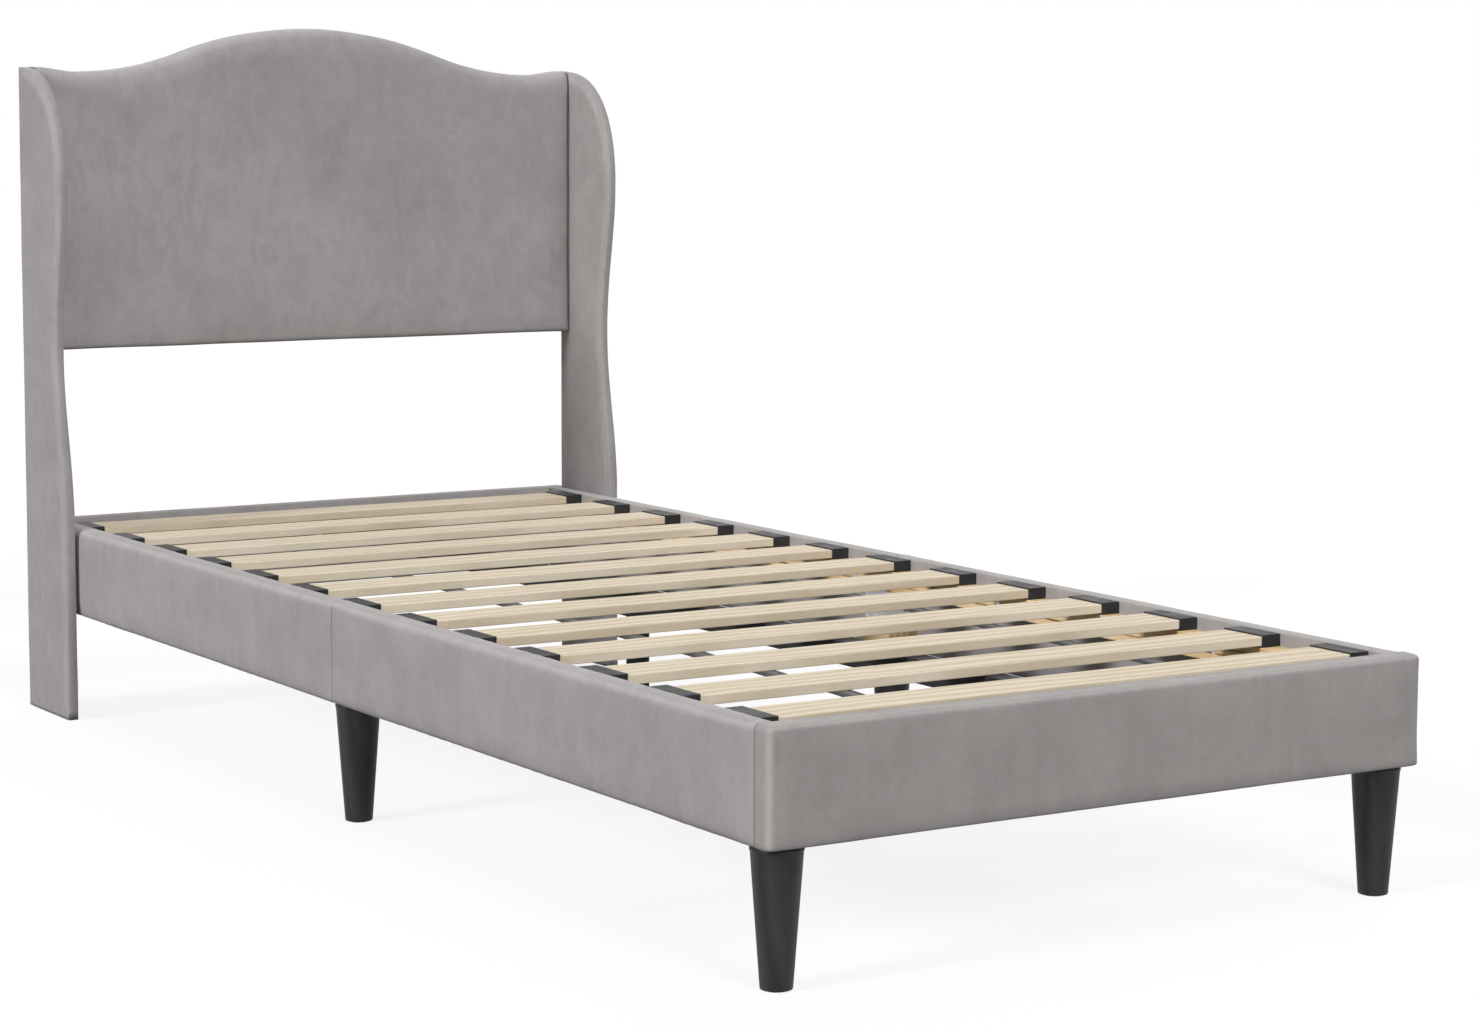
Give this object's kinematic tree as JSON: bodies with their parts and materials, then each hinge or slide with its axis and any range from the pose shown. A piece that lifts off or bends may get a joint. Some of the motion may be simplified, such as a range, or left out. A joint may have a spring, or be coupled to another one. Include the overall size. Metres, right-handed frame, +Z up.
{
  "type": "upholstered bed frame",
  "caption": "Single bed frame wrapped in velvet, with a winged camel-back headboard, slatted deck and tapered round legs, that carries a mattress.",
  "frame": {"origin": "on the floor, under the middle of the whole frame's box", "axes": "+Y from the foot end to the headboard, +X across to the right of someone who stands at the foot end and looks at the headboard, +Z up"},
  "size_m": [0.975, 2.116, 1.064],
  "materials": {
    "velvet": "light grey velvet",
    "foam": "open-cell foam",
    "dust_cloth": "black non-woven cloth",
    "webbing": "woven black webbing",
    "felt": "black felt",
    "board": "raw particle board",
    "pine": "planed pine",
    "plywood": "sanded plywood",
    "leg_lacquer": "satin black lacquer",
    "steel": "zinc plated",
    "black_steel": "black powder coat",
    "black_plastic": "moulded plastic"
  },
  "bodies": {
    "frame": {"headboard_board": "board", "headboard_foam": "foam", "headboard_cover": "velvet", "headboard_back_cloth": "dust_cloth", "wing_board_left": "board", "wing_board_right": "board", "wing_cover_left": "velvet", "wing_cover_right": "velvet", "wing_glides": "black_plastic", "headboard_bolts": "steel", "wing_bolts": "steel", "wing_spacers": "black_plastic", "foot_board": "board", "foot_cover": "velvet", "rail_board_foot_left": "board", "rail_board_foot_right": "board", "rail_board_head_left": "board", "rail_board_head_right": "board", "rail_cover_foot_left": "velvet", "rail_cover_foot_right": "velvet", "rail_cover_head_left": "velvet", "rail_cover_head_right": "velvet", "head_rail_board": "board", "head_rail_cover": "velvet", "ledgers": "pine", "rail_splices": "steel", "corner_brackets": "steel", "frame_screws": "steel", "ledger_screws": "steel", "leg_foot_left": "leg_lacquer", "leg_foot_right": "leg_lacquer", "leg_mid_left": "leg_lacquer", "leg_mid_right": "leg_lacquer", "leg_blocks": "pine", "leg_bolts": "steel", "leg_pads": "felt", "leg_plates": "black_steel", "beam_foot": "black_steel", "beam_head": "black_steel", "beam_joiner": "steel", "beam_brackets": "steel", "centre_leg": "black_steel", "centre_leg_plug": "steel", "slat_holders": "black_plastic", "slat_straps": "webbing", "slat_01": "plywood", "slat_02": "plywood", "slat_03": "plywood", "slat_04": "plywood", "slat_05": "plywood", "slat_06": "plywood", "slat_07": "plywood", "slat_08": "plywood", "slat_09": "plywood", "slat_10": "plywood", "slat_11": "plywood", "slat_12": "plywood", "slat_13": "plywood"},
    "levelling_foot": {"centre_foot": "black_plastic"}
  },
  "joints": [
    {"name": "foot_screw", "type": "slide", "parent": "frame", "child": "levelling_foot", "axis": [0, 0, -1], "range_m": [0, 0.012]}
  ]
}
